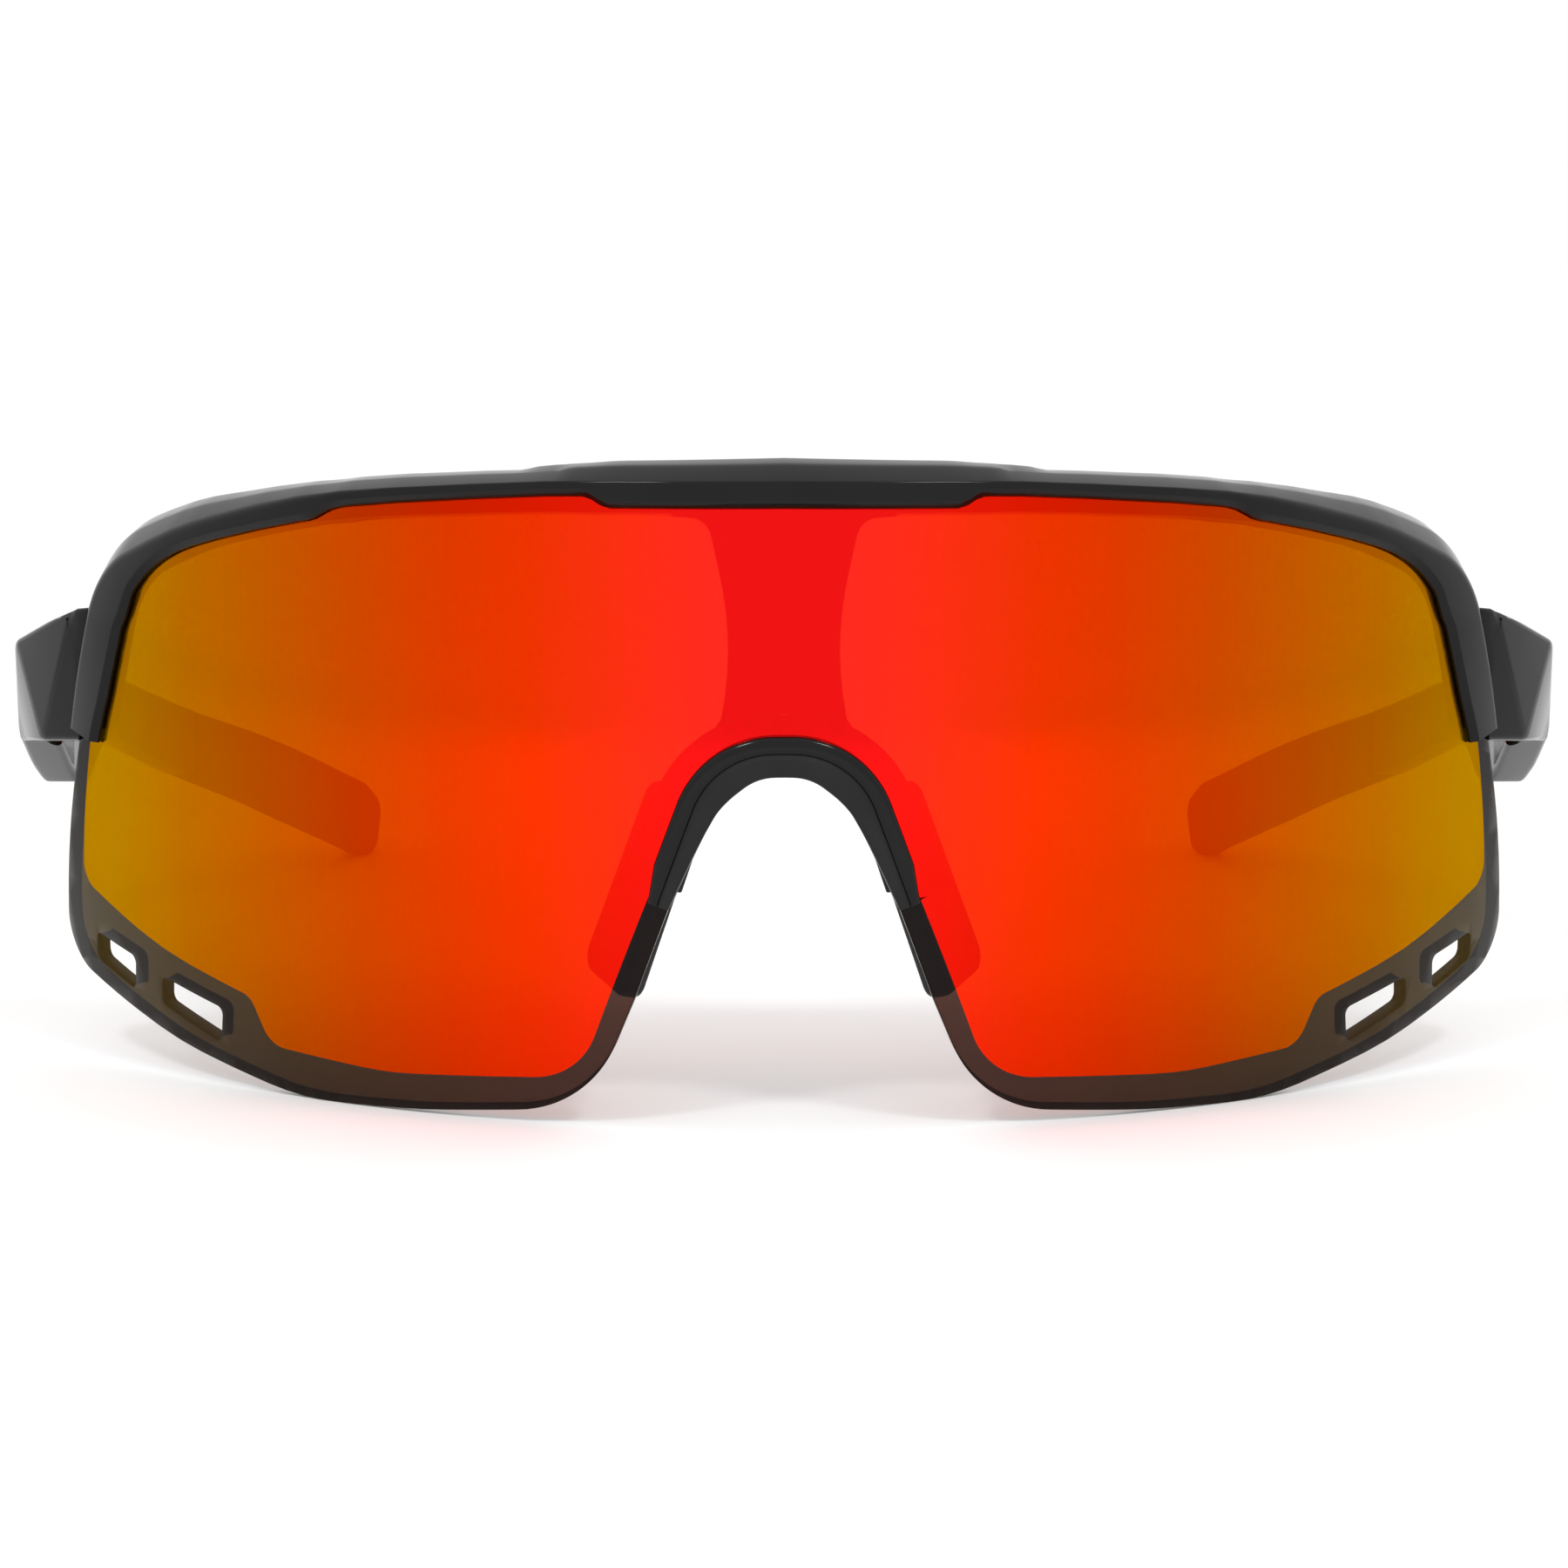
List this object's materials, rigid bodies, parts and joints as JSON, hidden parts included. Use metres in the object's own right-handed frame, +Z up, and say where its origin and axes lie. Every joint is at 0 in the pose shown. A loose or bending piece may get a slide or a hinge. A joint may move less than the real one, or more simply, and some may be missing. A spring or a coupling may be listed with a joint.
{
  "type": "wraparound sport sunglasses",
  "caption": "Half-rim shield sunglasses with a single wraparound mirror lens, clip-in nose saddle with side pads, lens vents and folding rubber-tipped temples.",
  "frame": {"origin": "on the surface the glasses rest on, under the centre of their bounding box", "axes": "+Z up; the front of the lens faces -Y; +X is the wearer's left; temples run towards +Y"},
  "size_m": [0.1472, 0.1576, 0.06],
  "materials": {
    "gloss_black": "injection moulded, polished",
    "coated_lens": "red to gold mirror coating on smoke tint, darker uncoated border",
    "saddle_black": "polished bead, satin inner band",
    "pad_rubber": "matte",
    "grip_rubber": "matte",
    "hinge_steel": "satin",
    "insert_brass": "satin"
  },
  "bodies": {
    "front": {"frame_front": "gloss_black", "lens": "coated_lens", "nose_saddle": "saddle_black", "nose_pad_left": "pad_rubber", "nose_pad_right": "pad_rubber", "hinge_screw_left": "hinge_steel", "hinge_screw_right": "hinge_steel", "hinge_insert_left": "insert_brass", "hinge_insert_right": "insert_brass"},
    "left_temple": {"temple_left": "gloss_black", "temple_grip_left": "grip_rubber"},
    "right_temple": {"temple_right": "gloss_black", "temple_grip_right": "grip_rubber"}
  },
  "joints": [
    {"name": "left_temple_fold", "type": "hinge", "parent": "front", "child": "left_temple", "pos_m": [0.06818, -0.02937, 0.03176], "axis": [0, 0.154, 0.9881], "range_deg": [0, 92]},
    {"name": "right_temple_fold", "type": "hinge", "parent": "front", "child": "right_temple", "pos_m": [-0.06818, -0.02937, 0.03176], "axis": [0, -0.154, -0.9881], "range_deg": [0, 78]}
  ]
}
